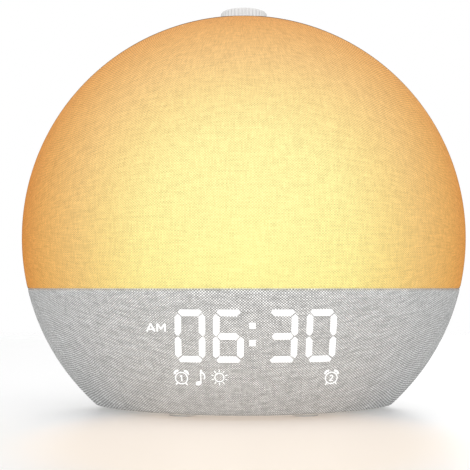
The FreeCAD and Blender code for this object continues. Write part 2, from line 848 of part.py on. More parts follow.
def knob():
    """The ribbed cap: soft shoulder, grooves all round, a hollow below and a D-shaped grip."""
    low = well_z + knob_lift
    top = knob_top
    s = knob_shoulder
    mid = s * (1 - math.sin(math.pi / 4))

    def p(r, z):
        return at(r, knob_back, z)

    shoulder = Part.Arc(p(knob_r, top - knob_crown - s), p(knob_r - mid, top - knob_crown - mid),
                        p(knob_r - s, top - knob_crown)).toShape()
    flat_r = knob_r - s
    half_way = top - dome_drop(flat_r, knob_crown, flat_r / 2)
    crown = Part.Arc(p(flat_r, top - knob_crown), p(flat_r / 2, half_way), p(0, top)).toShape()
    outline = [Part.makeLine(p(0, top), p(0, low)), Part.makeLine(p(0, low), p(knob_r - knob_foot, low)),
               Part.makeLine(p(knob_r - knob_foot, low), p(knob_r, low + knob_foot)),
               Part.makeLine(p(knob_r, low + knob_foot), p(knob_r, top - knob_crown - s)), shoulder, crown]
    cap = turned(outline, p(0, 0), UP)
    reach = knob_r + knob_groove_r - knob_groove_depth
    grooves = []
    for i in range(knob_ribs):
        a = 2 * math.pi * (i + 0.5) / knob_ribs
        groove = pillar(knob_groove_r, reach * math.cos(a), knob_back + reach * math.sin(a), low - 1, top + 1)
        grooves.append(groove)
    cap = cap.cut(Part.makeCompound(grooves))
    roof = well_z + bush_h + knob_travel + seat_gap + plunger_gap
    cap = cap.cut(pillar(knob_cavity_r, 0, knob_back, low - 1, roof))
    grip = shaft_form(shaft_r + knob_grip_fit, shaft_flat - knob_grip_fit, roof, knob_shaft_top + plunger_gap)
    return cap.cut(grip)


def shaft_form(r, flat, z0, z1):
    """A round bar with one flat side."""
    cutter = block(-r - 1, r + 1, knob_back + shaft_r - flat, knob_back + 2 * shaft_r, z0 - 1, z1 + 1)
    return pillar(r, 0, knob_back, z0, z1).cut(cutter)


def encoder_shaft():
    """The turning shaft: D-shaped grip above, round journal in the bush, collar and centre hole below."""
    grip_low = well_z + bush_h + knob_travel + seat_gap
    grip = shaft_form(shaft_r, shaft_flat, grip_low, knob_shaft_top)
    journal = pillar(shaft_r, 0, knob_back, shaft_end, grip_low)
    collar = pillar(shaft_r + collar_w, 0, knob_back, shaft_end, shaft_end + collar_h)
    hole = pillar(plunger_pin_r + shaft_fit, 0, knob_back, shaft_end, shaft_end + plunger_pin_h + seat_gap)
    return joined([grip, journal, collar]).cut(hole)


def encoder_plunger():
    """The press plate under the shaft, with the pin that the shaft turns on."""
    top = shaft_end - plunger_gap
    plate = pillar(plunger_r, 0, knob_back, top - plunger_t, top)
    return joined([plate, pillar(plunger_pin_r, 0, knob_back, top, top + plunger_pin_h)])


def encoder_body():
    """The encoder's case with its bush through the well's floor."""
    half = encoder_size / 2
    case = block(-half, half, knob_back - half, knob_back + half, encoder_top - encoder_h, encoder_top)
    bush = pillar(bush_r, 0, knob_back, encoder_top, well_z + bush_h)
    whole = joined([case, bush])
    whole = whole.cut(pillar(shaft_r + shaft_fit, 0, knob_back, cavity_top, well_z + bush_h))
    return whole.cut(pillar(plunger_r + plunger_room, 0, knob_back, cavity_low, cavity_top))


def encoder_nut():
    across = nut_flats / math.sqrt(3)
    corners = [at(across * math.cos(math.pi * i / 3), knob_back + across * math.sin(math.pi * i / 3), well_z)
               for i in range(6)]
    nut = Part.Face(Part.makePolygon(corners + corners[:1])).extrude(UP * nut_h)
    return nut.cut(pillar(bush_r + nut_fit, 0, knob_back, well_z, well_z + nut_h))


def encoder_board():
    low = encoder_top - encoder_h - board_t
    half_w, half_d = encoder_board_w / 2, encoder_board_d / 2
    return block(-half_w, half_w, knob_back - half_d, knob_back + half_d, low, low + board_t)


# Foot

def base_plate():
    """The bottom plate, shaped to the inside of both shells, with holes for its screws."""
    slab = block(-far, far, -far, far, base_low, base_top)
    front = ball(inside_r - seat_gap).common(block(-far, far, -far, 0, 0, far))
    rear = rear_form(rear_wall + seat_gap, 0)
    plate = joined([slab.common(front), slab.common(rear)])
    for x, back in base_screw_places():
        plate = plate.cut(pillar(case_shank_r + screw_fit, x, back, base_low, base_top))
        plate = plate.cut(pillar(case_head_r + seat_gap, x, back, base_low, base_low + case_head_h))
    return plate


def pad_places():
    front, rear = (pad_front_x, front_edge + pad_front_in), (side_edge - pad_rear_in, pad_rear_back)
    return [(s * x, back) for x, back in (front, rear) for s in (-1, 1)]


def foot_pads():
    pads = []
    for x, back in pad_places():
        foot = pillar(pad_r - pad_step, x, back, 0, base_low)
        pads.append(joined([foot, pillar(pad_r, x, back, pad_step, base_low)]))
    return Part.makeCompound(pads)


def ballast():
    """The steel weight on the foot, under the display."""
    half = ballast_w / 2
    rear = base_screw_back - base_boss_r - ballast_gap
    weight = block(-half, half, rear - ballast_d, rear, base_top, base_top + ballast_h)
    return weight.common(ball(inside_r - ballast_gap))


# Screws

def case_screws():
    seat_back = rear_depth - head_sink - case_head_h
    seats = [at(x, seat_back, z) for x, z in case_places()]
    return Part.makeCompound([screw(case_shank_r, case_screw_len, case_head_r, case_head_h, seat, -BACK, True)
                              for seat in seats])


def base_screws():
    seat = base_low + case_head_h
    return Part.makeCompound([screw(case_shank_r, base_boss_h - boss_end, case_head_r, case_head_h,
                                    at(x, back, seat), UP, True) for x, back in base_screw_places()])


def small_screw(x, back, z, direction, length):
    return screw(small_shank_r, length, small_head_r, small_head_h, at(x, back, z), direction)


def board_screws():
    made = [small_screw(x, main_board_back, z, BACK, board_thread) for x, z in main_places()]
    made += [small_screw(x, button_board_back, z, BACK, board_thread) for x, z in button_screw_places()]
    made += [small_screw(x, display_back + board_t, z, -BACK, display_thread) for x, z in display_places()]
    made += [small_screw(x, -board_t, z, BACK, board_t + plate_t) for x, z in lamp_screw_places()]
    return Part.makeCompound(made)


def speaker_screws():
    length = speaker_flange_t + gasket_t + speaker_seat_h - screw_end_gap
    return Part.makeCompound([small_screw(x, flange_back, z, BACK, length) for x, z in speaker_places()])


# Leads: straight runs joined by tangent arcs

def tube(points, r, bend):
    """A round lead through points, each corner rounded to at most the bend radius."""
    edges = []
    start = points[0]
    for before, corner, after in zip(points, points[1:], points[2:]):
        into = (corner - before).normalize()
        away = (after - corner).normalize()
        turn = into.getAngle(away)
        shorter = min((corner - before).Length, (after - corner).Length)
        back_off = min(bend * math.tan(turn / 2), 0.45 * shorter)
        a, b = corner - into * back_off, corner + away * back_off
        radius = back_off / math.tan(turn / 2)
        bisector = (away - into).normalize()
        middle = corner + bisector * (radius / math.cos(turn / 2) - radius)
        edges += [Part.makeLine(start, a), Part.Arc(a, middle, b).toShape()]
        start = b
    edges.append(Part.makeLine(start, points[-1]))
    path = Part.Wire(edges)
    ring = Part.Wire(Part.makeCircle(r, points[0], (points[1] - points[0]).normalize()))
    return path.makePipeShell([ring], True, True)


def display_lead():
    x, z = main_plugs()[0]
    start = display_back + board_t + plug_d
    end = main_board_back - plug_d
    top = display_plug_z
    return tube([at(x, start, top), at(x, start + long_straight, top), at(x, end - long_straight, z),
                 at(x, end, z)], lead_r, long_bend)


def lamp_lead():
    x, z = main_plugs()[1]
    end = main_board_back - plug_d
    return tube([at(lamp_plug_x, plug_d, lamp_mid), at(lamp_plug_x, plug_d + lead_straight, lamp_mid),
                 at(x, end - lead_straight, z), at(x, end, z)], lead_r, lead_bend)


def speaker_lead():
    x, z = main_plugs()[2]
    end = main_board_back - plug_d
    side = speaker_flange_r - speaker_tab_in
    low = centre_z - speaker_tab_drop
    return tube([at(-side, flange_back, low), at(-side, end - lead_straight, low),
                 at(x, end - lead_straight, z), at(x, end, z)], lead_r, lead_bend)


PARTS = {
    "lamp_cloth": lamp_cloth,
    "base_cloth": base_cloth,
    "diffuser_dome": diffuser_dome,
    "base_front_shell": base_front_shell,
    "chassis": chassis,
    "light_shelf": light_shelf,
    "led_board": led_board,
    "lamp_leds": lamp_leds,
    "display_housing": display_housing,
    "segment_lenses": segment_lenses,
    "display_leds": display_leds,
    "display_board": display_board,
    "rear_shell": rear_shell,
    "speaker_gasket": speaker_gasket,
    "speaker_frame": speaker_frame,
    "speaker_cone": speaker_cone,
    "speaker_magnet": speaker_magnet,
    "tact_switches": tact_switches,
    "button_board": button_board,
    "main_board": main_board,
    "board_parts": board_parts,
    "cell_holder": cell_holder,
    "coin_cell": coin_cell,
    "dc_jack": dc_jack,
    "knob": knob,
    "encoder_shaft": encoder_shaft,
    "encoder_plunger": encoder_plunger,
    "encoder_body": encoder_body,
    "encoder_nut": encoder_nut,
    "encoder_board": encoder_board,
    "base_plate": base_plate,
    "foot_pads": foot_pads,
    "ballast": ballast,
    "case_screws": case_screws,
    "base_screws": base_screws,
    "board_screws": board_screws,
    "speaker_screws": speaker_screws,
    "display_lead": display_lead,
    "lamp_lead": lamp_lead,
    "speaker_lead": speaker_lead,
}

os.makedirs("parts", exist_ok=True)
for name, make in PARTS.items():
    make().exportStep("parts/" + name + ".step")
for i, (x, z) in enumerate(button_places()):
    button(x, z).exportStep("parts/button_" + str(i + 1) + ".step")
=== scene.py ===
# %% [markdown]
# A sunrise alarm clock in linen
#
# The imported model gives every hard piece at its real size. This lesson dresses it. It makes two woven
# skins over the domed front, the light of a lamp behind one of them, display signs that shine through the
# other, and a finely ribbed knob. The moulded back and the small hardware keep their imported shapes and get
# their finishes. All lengths are metres in the model's own frame, where the clock faces -Y and stands on
# z = 0.

# %% Load the frame and keep its box
import json
import math

import bmesh
import bpy
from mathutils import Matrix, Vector


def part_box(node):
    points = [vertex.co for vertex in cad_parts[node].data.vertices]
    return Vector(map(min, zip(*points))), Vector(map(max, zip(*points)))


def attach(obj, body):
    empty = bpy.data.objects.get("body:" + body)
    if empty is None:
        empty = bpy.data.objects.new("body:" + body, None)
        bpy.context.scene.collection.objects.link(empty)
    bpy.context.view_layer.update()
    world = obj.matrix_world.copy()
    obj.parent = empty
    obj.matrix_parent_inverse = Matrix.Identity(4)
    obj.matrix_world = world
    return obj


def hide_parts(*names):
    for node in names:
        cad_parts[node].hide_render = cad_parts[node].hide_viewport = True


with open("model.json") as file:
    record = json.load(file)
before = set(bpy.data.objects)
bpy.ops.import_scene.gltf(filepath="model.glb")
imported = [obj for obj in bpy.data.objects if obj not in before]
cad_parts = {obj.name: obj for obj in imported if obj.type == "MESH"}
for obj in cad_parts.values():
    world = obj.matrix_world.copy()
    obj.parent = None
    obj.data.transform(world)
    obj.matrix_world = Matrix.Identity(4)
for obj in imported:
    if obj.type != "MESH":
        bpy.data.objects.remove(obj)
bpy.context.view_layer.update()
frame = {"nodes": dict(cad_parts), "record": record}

# %% [markdown]
# The dome is a piece of a ball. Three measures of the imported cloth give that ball: the rim's radius,
# how far the front bulges ahead of the rim, and the height of the rim's middle. Everything on the front
# is placed from the ball, so the weave, the signs and the hems follow if the model changes.

# %% The ball behind the cloth
MM = 0.001
skin_low, skin_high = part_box("lamp_cloth")
base_low, base_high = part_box("base_cloth")
rim_y = skin_high.y
rim_radius = skin_high.x
bulge = rim_y - skin_low.y
ball_r = (rim_radius ** 2 + bulge ** 2) / (2 * bulge)
rim_z = skin_high.z - rim_radius
ball = Vector((0.0, rim_y + ball_r - bulge, rim_z))
seam_z = (skin_low.z + base_high.z) / 2
foot_z = base_low.z
print("ball radius", round(ball_r, 4), "rim plane", round(rim_y, 4), "seam", round(seam_z, 4))


# %% [markdown]
# Signs are drawn flat, by width and height, and then laid on the dome. The cloth is the other way round:
# each point of the dome needs its place on the flat cloth, so that threads can be counted there. That
# place is the arc across and the arc up, and it is kept in the mesh as a UV map.

# %% Points on the dome
def dome_point(x, z, lift):
    """The point of the dome in front of (x, z), lifted off the cloth by lift."""
    r = ball_r + lift
    depth = math.sqrt(max(r * r - x * x - (z - ball.z) ** 2, 0.0))
    return Vector((x, ball.y - depth, z))


def cloth_place(p):
    """The place on the flat cloth under a point of the dome, in millimetres across and up."""
    d = p - ball
    return (ball_r * math.atan2(d.x, -d.y) / MM, ball_r * math.atan2(d.z, -d.y) / MM)


def map_to_cloth(obj):
    """Writes the place on the flat cloth into every corner of a mesh."""
    threads = obj.data.uv_layers.new(name="threads")
    for loop in obj.data.loops:
        threads.data[loop.index].uv = cloth_place(obj.data.vertices[loop.vertex_index].co)


print("the dome's front is at y =", round(dome_point(0.0, rim_z, 0.0).y, 4))


# %% [markdown]
# Every new piece is a mesh made from two plain lists, its points and its faces. Modifiers could make some
# of them, but lists show exactly where each point comes from, and they give the same mesh each run.

# %% Meshes from plain lists
def link(obj):
    bpy.context.scene.collection.objects.link(obj)
    return obj


def mesh_object(name, points, faces, smooth=True):
    """A linked object from plain lists of points and faces."""
    mesh = bpy.data.meshes.new(name)
    mesh.from_pydata([tuple(p) for p in points], [], faces)
    mesh.validate()
    mesh.update()
    if smooth:
        mesh.polygons.foreach_set("use_smooth", [True] * len(mesh.polygons))
    return link(bpy.data.objects.new(name, mesh))


# %% [markdown]
# Materials, node groups and the world are all trees of nodes. Made by hand, each node takes several
# lines, so a tiny builder keeps them readable: it adds a node, joins its inputs and hands back its output.
# Sums are the commonest nodes and get words of their own.

# %% A small builder for node trees
class Nodes:
    """Adds nodes to a tree and joins them."""

    def __init__(self, tree):
        self.tree = tree

    def node(self, kind, **settings):
        made = self.tree.nodes.new(kind)
        for key, value in settings.items():
            setattr(made, key, value)
        return made

    def join(self, value, socket):
        """Writes a plain value into a socket, or links an output to it."""
        if isinstance(value, (int, float, tuple)):
            socket.default_value = value
        else:
            self.tree.links.new(value, socket)

    def feed(self, made, *values):
        """Joins values to a node's first sockets in turn."""
        for value, socket in zip(values, made.inputs):
            self.join(value, socket)
        return made.outputs[0]

    def math(self, operation, *values):
        return self.feed(self.node("ShaderNodeMath", operation=operation), *values)

    def plus(self, a, b):
        return self.math("ADD", a, b)

    def minus(self, a, b):
        return self.math("SUBTRACT", a, b)

    def times(self, a, b):
        return self.math("MULTIPLY", a, b)

    def between(self, value, low, high, to_low=0.0, to_high=1.0, smooth=False):
        """Maps one range of values onto another, along a line or a smooth step."""
        curve = "SMOOTHSTEP" if smooth else "LINEAR"
        made = self.node("ShaderNodeMapRange", interpolation_type=curve)
        return self.feed(made, value, low, high, to_low, to_high)

    def mix(self, factor, a, b):
        """A colour between a and b."""
        made = self.node("ShaderNodeMix", data_type="RGBA")
        for value, key in ((factor, 0), (a, 6), (b, 7)):
            self.join(value, made.inputs[key])
        return made.outputs[2]


# %% [markdown]
# Places and colours have three parts. The same builder splits and joins them, and feeds noise with a
# place. Noise over squeezed coordinates makes streaks, which serve for yarn and for drawn metal.

# %% Places, colours and noise
class Shading(Nodes):
    """The builder with words for places, colours and noise."""

    def object_place(self):
        return self.node("ShaderNodeTexCoord").outputs["Object"]

    def split(self, place):
        parts = self.node("ShaderNodeSeparateXYZ")
        self.join(place, parts.inputs[0])
        return parts.outputs[0], parts.outputs[1], parts.outputs[2]

    def triple(self, *values):
        return self.feed(self.node("ShaderNodeCombineXYZ"), *values)

    def product(self, a, b):
        """Two colours or places, multiplied part by part."""
        return self.feed(self.node("ShaderNodeVectorMath", operation="MULTIPLY"), a, b)

    def scaled(self, colour, factor):
        made = self.node("ShaderNodeVectorMath", operation="SCALE")
        self.join(factor, made.inputs["Scale"])
        return self.feed(made, colour)

    def distance(self, a, b):
        made = self.node("ShaderNodeVectorMath", operation="DISTANCE")
        self.feed(made, a, b)
        return made.outputs["Value"]

    def noise(self, place, scale, detail=2.0, rough=0.5, dimensions="3D"):
        made = self.node("ShaderNodeTexNoise", noise_dimensions=dimensions)
        for value, label in ((place, "Vector"), (scale, "Scale"), (detail, "Detail"), (rough, "Roughness")):
            self.join(value, made.inputs[label])
        return made.outputs[0]

    def flat_noise(self, u, v, scale, detail=2.0, rough=0.55):
        """Noise over two coordinates, each of which may be squeezed or stretched."""
        return self.noise(self.triple(u, v), scale, detail, rough, "2D")


# %% [markdown]
# An effect that several materials use is a node group with named inputs and outputs. It is built once,
# and each material sets its inputs.

# %% Node groups with named sockets
SOCKETS = {"number": "NodeSocketFloat", "colour": "NodeSocketColor", "place": "NodeSocketVector"}


class Group(Shading):
    """A shader node group under construction."""

    def __init__(self, name, inputs, outputs):
        super().__init__(bpy.data.node_groups.new(name, "ShaderNodeTree"))
        for label, kind, value in inputs:
            socket = self.tree.interface.new_socket(name=label, in_out="INPUT", socket_type=SOCKETS[kind])
            if value is not None:
                socket.default_value = value
        for label, kind in outputs:
            self.tree.interface.new_socket(name=label, in_out="OUTPUT", socket_type=SOCKETS[kind])
        self.source = self.node("NodeGroupInput")
        self.sink = self.node("NodeGroupOutput")

    def given(self, label):
        return self.source.outputs[label]

    def give(self, label, value):
        self.join(value, self.sink.inputs[label])


# %% [markdown]
# Linen is a plain weave: each thread passes over one and under the next. The yarn is uneven, thick in
# one place and thin in another, and these slubs run along single threads. Both could be modelled, but at
# half a millimetre a thread that is a million faces, so the weave is a group. It takes the flat place on
# the cloth and finds the crossing there. It gives a height for the bump, which yarn is on top, how thick
# the yarn is, a random value for each crossing and a mask of the small holes between threads.
#
# First come the threads. The upright set is the warp, the level set is the weft. No thread of real linen
# is quite straight, so a slow noise moves both sets a little to and fro.

# %% Where the threads run
warp_pitch, weft_pitch = 0.58, 0.50
warp_waves, weft_waves = 0.05, 0.045
wander_reach = 0.9


def count_threads(g, along, up):
    """A place in millimetres, counted in warp and in weft threads."""
    warp_shift = g.times(g.minus(g.flat_noise(along, up, warp_waves, 1.0), 0.5), wander_reach)
    weft_shift = g.times(g.minus(g.flat_noise(up, along, weft_waves, 1.0), 0.5), wander_reach)
    return (g.math("DIVIDE", g.plus(along, warp_shift), g.given("Warp Pitch")),
            g.math("DIVIDE", g.plus(up, weft_shift), g.given("Weft Pitch")))


def from_middle(g, threads):
    """How far a place is from the middle of its thread: 0 in the middle, 0.5 at its flank."""
    return g.math("ABSOLUTE", g.minus(g.math("FRACT", threads), 0.5))


print("threads in a centimetre", round(10 / warp_pitch, 1), "by", round(10 / weft_pitch, 1))


# %% [markdown]
# A thread has a round section and dips towards the crossings beside it. Its thickness is a noise that
# runs slowly along the thread and jumps from each thread to the next.

# %% Height and thickness of the yarn
section_curve, dip = 3.4, 0.5
warp_jump, weft_jump = 7.31, 6.77
warp_run, weft_run = 0.11, 0.09


def thread_height(g, across, along):
    """The height of a thread, from the distances to its own middle and to the crossing's middle."""
    section = g.minus(1.0, g.times(g.times(across, across), section_curve))
    return g.times(section, g.minus(1.0, g.times(along, dip)))


def yarn_thickness(g, u, v, warp_number, weft_number):
    """The thickness of the warp and of the weft yarn at a crossing."""
    return (g.flat_noise(g.times(warp_number, warp_jump), g.times(v, warp_run), 1.0, 1.0, 0.5),
            g.flat_noise(g.times(u, weft_run), g.times(weft_number, weft_jump), 1.0, 1.0, 0.5))


# %% Linen weave as a node group
def linen_group():
    g = Group("linen weave",
              [("Place", "place", None), ("Warp Pitch", "number", warp_pitch),
               ("Weft Pitch", "number", weft_pitch)],
              [(label, "number") for label in ("Height", "Slub", "Holes", "Over", "Speck")])
    along, up = g.split(g.given("Place"))[:2]
    u, v = count_threads(g, along, up)
    warp_number, weft_number = g.math("FLOOR", u), g.math("FLOOR", v)
    from_warp, from_weft = from_middle(g, u), from_middle(g, v)
    warp_on_top = g.math("FLOORED_MODULO", g.plus(warp_number, weft_number), 2.0)
    weft_on_top = g.minus(1.0, warp_on_top)
    warp_up, weft_up = thread_height(g, from_warp, from_weft), thread_height(g, from_weft, from_warp)
    warp_yarn, weft_yarn = yarn_thickness(g, u, v, warp_number, weft_number)
    top_yarn = g.plus(g.times(warp_yarn, warp_on_top), g.times(weft_yarn, weft_on_top))
    both_yarns = g.times(g.plus(warp_yarn, weft_yarn), 0.5)
    speck = g.node("ShaderNodeTexWhiteNoise", noise_dimensions="2D")
    g.join(g.triple(warp_number, weft_number), speck.inputs["Vector"])
    g.give("Height", g.plus(g.times(warp_up, warp_on_top), g.times(weft_up, weft_on_top)))
    g.give("Slub", g.plus(g.times(top_yarn, 0.5), g.times(both_yarns, 0.5)))
    g.give("Holes", g.times(g.times(from_warp, from_weft), 4.0))
    g.give("Over", warp_on_top)
    g.give("Speck", speck.outputs["Value"])
    return g.tree


linen = linen_group()
print("group:", linen.name, "with", len(linen.nodes), "nodes")


# %% [markdown]
# Moulded plastic is never quite flat: it has a fine spark-eroded grain and a faint tone drift. One group
# gives both, with the grain size and the drift as inputs, and serves the cover, knob, feet and switches.

# %% Moulded grain as a node group
drift_scale = 28.0


def grain_group():
    g = Group("moulded grain",
              [("Grain Scale", "number", 2600.0), ("Tone", "colour", (0.8, 0.8, 0.8, 1)),
               ("Drift", "number", 0.04)],
              [("Height", "number"), ("Color", "colour"), ("Rough", "number")])
    place = g.object_place()
    fine = g.noise(place, g.given("Grain Scale"), 3.0)
    broad = g.noise(place, drift_scale)
    shade = g.plus(1.0, g.times(g.minus(broad, 0.5), g.given("Drift")))
    g.give("Height", fine)
    g.give("Color", g.scaled(g.given("Tone"), shade))
    g.give("Rough", g.plus(0.42, g.times(fine, 0.16)))
    return g.tree


grain = grain_group()
print("group:", grain.name)


# %% [markdown]
# Metal hardware shows a soft streak from rolling or turning. Streaks come from noise squeezed along one
# axis, and the same value tints the colour a little and breaks the gloss.

# %% Drawn metal as a node group
streak_squeeze, streak_scale = 160.0, 9.0


def streak_group():
    g = Group("drawn metal", [("Tone", "colour", (0.6, 0.6, 0.6, 1)), ("Stretch", "number", 9.0)],
              [("Color", "colour"), ("Rough", "number"), ("Height", "number")])
    x, y, z = g.split(g.object_place())
    streak = g.flat_noise(g.times(x, g.given("Stretch")), g.times(g.plus(y, z), streak_squeeze),
                          streak_scale)
    g.give("Color", g.scaled(g.given("Tone"), g.plus(0.85, g.times(streak, 0.3))))
    g.give("Rough", g.plus(0.24, g.times(streak, 0.22)))
    g.give("Height", streak)
    return g.tree


drawn = streak_group()
print("group:", drawn.name)


# %% [markdown]
# A material is one shader with values in its sockets. Values that are the same all over go straight into
# a socket, and those that change over the surface come from a group. The makers for plastic and metal
# below take a tone and a few numbers, since that is all in which those finishes differ.

# %% Steps that every material needs
def blank(name):
    """A new material, a builder for its nodes, and its shader."""
    material = bpy.data.materials.new(name)
    material.use_nodes = True
    return material, Shading(material.node_tree), material.node_tree.nodes["Principled BSDF"]


def use_group(n, group, **values):
    """Places a group in a material, sets its inputs and hands back its outputs."""
    made = n.node("ShaderNodeGroup", node_tree=group)
    for key, value in values.items():
        n.join(value, made.inputs[key.replace("_", " ")])
    return made.outputs


def dress(n, shader, values):
    for label, value in values.items():
        n.join(value, shader.inputs[label])


def bump(n, height, shader, strength, distance):
    made = n.node("ShaderNodeBump")
    for value, label in ((strength, "Strength"), (distance, "Distance"), (height, "Height")):
        n.join(value, made.inputs[label])
    n.join(made.outputs[0], shader.inputs["Normal"])


# %% Makers for plastic, metal and weave
def moulded(name, tone, grain_scale, drift, gloss, depth=0.04 * MM):
    material, n, shader = blank(name)
    cover = use_group(n, grain, Grain_Scale=grain_scale, Tone=(*tone, 1), Drift=drift)
    dress(n, shader, {"Base Color": cover["Color"], "Roughness": cover["Rough"],
                      "Specular IOR Level": gloss})
    bump(n, cover["Height"], shader, 0.25, depth)
    return material


def metal(name, tone, stretch=9.0):
    material, n, shader = blank(name)
    sheet = use_group(n, drawn, Tone=(*tone, 1), Stretch=stretch)
    dress(n, shader, {"Base Color": sheet["Color"], "Roughness": sheet["Rough"], "Metallic": 1.0})
    bump(n, sheet["Height"], shader, 0.1, 0.02 * MM)
    return material


def woven(n):
    """The weave, at the place on the flat cloth that the mesh keeps."""
    place = n.node("ShaderNodeUVMap", uv_map="threads").outputs[0]
    return use_group(n, linen, Place=place, Warp_Pitch=warp_pitch, Weft_Pitch=weft_pitch)


# %% [markdown]
# The lamp cloth is cream linen, lit from behind by a lamp low in the middle of the chamber. Seen from
# outside it is pale yellow in front of the lamp, then amber, then a burnt orange at the rim, where the
# light crosses the cloth at a slant. A lamp inside the model would light the cloth too, but it renders
# slowly and with much noise. A ramp over the distance from the lamp paints the glow instead, and it stays
# on the cloth from every side. The glow reaches further up than down, and its outline is a little squared.

# %% Distance from the lamp
lamp_height = seam_z + 12 * MM
lamp_aside = 1.5 * MM
glow_reach = 98.5 * MM
reach_up, reach_down = 1.17, 1.1
squareness = 2.4


def lamp_distance(g, x, z):
    """The distance from the lamp, as a share of how far its glow reaches."""
    rise = g.minus(z, lamp_height)
    above, below = g.math("MAXIMUM", rise, 0.0), g.math("MINIMUM", rise, 0.0)
    high = g.plus(g.math("DIVIDE", above, reach_up), g.times(below, reach_down))
    aside = g.math("ABSOLUTE", g.minus(x, lamp_aside))
    summed = g.plus(g.math("POWER", aside, squareness),
                    g.math("POWER", g.math("ABSOLUTE", high), squareness))
    return g.math("DIVIDE", g.math("POWER", summed, 1 / squareness), glow_reach)


# %% Colours of the glow
GLOW = [(0.0, (0.900, 0.835, 0.325)), (0.20, (0.888, 0.800, 0.312)), (0.38, (0.870, 0.755, 0.283)),
        (0.52, (0.832, 0.635, 0.226)), (0.66, (0.775, 0.510, 0.176)), (0.82, (0.722, 0.384, 0.106)),
        (0.93, (0.650, 0.268, 0.056)), (1.0, (0.505, 0.180, 0.036))]


def glow_ramp(g, reach):
    ramp = g.node("ShaderNodeValToRGB")
    stops = ramp.color_ramp.elements
    while len(stops) < len(GLOW):
        stops.new(0.5)
    for stop, (spot, colour) in zip(stops, GLOW):
        stop.position = spot
        stop.color = (*colour, 1)
    return g.feed(ramp, reach)


print("glow ramp of", len(GLOW), "colours")


# %% [markdown]
# The weave shows against the light. The crown of a thread looks lighter than its flanks, one set of
# threads lighter than the other, and thick yarn holds light back. This contrast grows towards the rim.
# At the rim itself the cloth turns in over the edge and hardly any light comes through, so the painted glow
# fades to a dark hem there. The top of the cloth faces the room's light and looks a little cooler than the
# part above the seam, and this cooler top is painted into the glow's colour as a blue share that grows
# upwards.

# %% The weave against the light
crown_share, set_share, woven_mean = 0.24, 0.30, 0.33
slub_share, speck_share = -0.62, 0.05
contrast_at_lamp, contrast_gain = 0.55, 0.60
hem_dark, hem_clear, hem_light = 0.9 * MM, 3.0 * MM, 0.15
# Blue shares of the painted cooler top, at the seam and at the top of the rim.
blue_low, blue_high = 0.91, 1.15


def woven_light(g, reach):
    """What the threads let through at a place, about 1 on the whole."""
    uneven = g.plus(g.times(g.minus(g.given("Slub"), 0.5), slub_share),
                    g.times(g.minus(g.given("Speck"), 0.5), speck_share))
    threads = g.plus(g.times(g.given("Thread"), crown_share), g.times(g.given("Over"), set_share))
    contrast = g.plus(contrast_at_lamp, g.times(reach, contrast_gain))
    return g.plus(1.0, g.times(g.plus(g.minus(threads, woven_mean), uneven), contrast))


def hem_shade(g, y):
    """Full light on the dome, and little of it where the cloth turns in."""
    return g.between(g.minus(rim_y, y), hem_dark, hem_clear, hem_light, 1.0, smooth=True)


def painted_room_tint(g, z):
    """Painted light: a colour to multiply with, warmer at the seam and cooler at the top of the rim."""
    return g.triple(1.0, 1.0, g.between(z, seam_z, rim_z + rim_radius, blue_low, blue_high))


# %% Glow of the lamp as a node group
# The lamp cloth's base colour is the painted glow times this share, so its colour carries painted light:
# yellow before the lamp, orange at the rim, the dark hem and the cooler top.
painted_glow_share = (0.34, 0.33, 0.42)


def glow_group():
    g = Group("lamp glow", [(label, "number", 0.5) for label in ("Thread", "Slub", "Over", "Speck")],
              [("Color", "colour"), ("Cloth", "colour")])
    x, y, z = g.split(g.object_place())
    reach = lamp_distance(g, x, z)
    light = g.times(woven_light(g, reach), hem_shade(g, y))
    # The painted glow, with its painted cooler top and its dark hem.
    glowing = g.scaled(g.product(glow_ramp(g, reach), painted_room_tint(g, z)), light)
    g.give("Color", glowing)
    # Base colour: the painted glow scaled down, painted light in the cloth's colour.
    g.give("Cloth", g.product(glowing, painted_glow_share))
    return g.tree


glow = glow_group()
print("group:", glow.name, "with", len(glow.nodes), "nodes")

# %% Lamp cloth
light_through = 0.74


def lamp_cloth_material():
    material, n, shader = blank("lit linen")
    weave = woven(n)
    light = use_group(n, glow, Thread=weave["Height"], Slub=weave["Slub"], Over=weave["Over"],
                      Speck=weave["Speck"])
    # Base colour and emission both come from the painted glow.
    dress(n, shader, {"Base Color": light["Cloth"], "Emission Color": light["Color"],
                      "Emission Strength": light_through, "Roughness": 0.95, "Specular IOR Level": 0.1})
    bump(n, weave["Height"], shader, 0.7, 0.12 * MM)
    return material


lit_linen = lamp_cloth_material()
print("material:", lit_linen.name)


# %% [markdown]
# The lower cloth is the same weave in heathered grey: pale yarn crossed with darker yarn, so single
# threads read as short dark dashes. The thickness picks the pale yarn's tone. Where the warp is on top
# the cloth is mostly dark, and some crossings are darker by chance. The holes between threads get
# painted shade.

# %% Heathered grey cloth
pale_yarn, mid_yarn, dark_yarn = (0.94, 0.95, 0.95, 1), (0.62, 0.628, 0.628, 1), (0.09, 0.089, 0.087, 1)
thin_yarn, thick_yarn = 0.36, 0.66
warp_dark, speck_dark, hole_shade = 0.73, 0.20, 0.50


def heather_group():
    g = Group("heathered yarn", [(label, "number", 0.5) for label in ("Slub", "Holes", "Over", "Speck")],
              [("Color", "colour")])
    yarn = g.mix(g.between(g.given("Slub"), thin_yarn, thick_yarn), pale_yarn, mid_yarn)
    crossed = g.mix(g.times(g.given("Over"), warp_dark), yarn, dark_yarn)
    flecked = g.mix(g.times(g.math("POWER", g.given("Speck"), 3.0), speck_dark), crossed, dark_yarn)
    # Painted shade in the holes between threads.
    shadow = g.times(g.math("POWER", g.given("Holes"), 1.4), hole_shade)
    g.give("Color", g.mix(shadow, flecked, dark_yarn))
    return g.tree


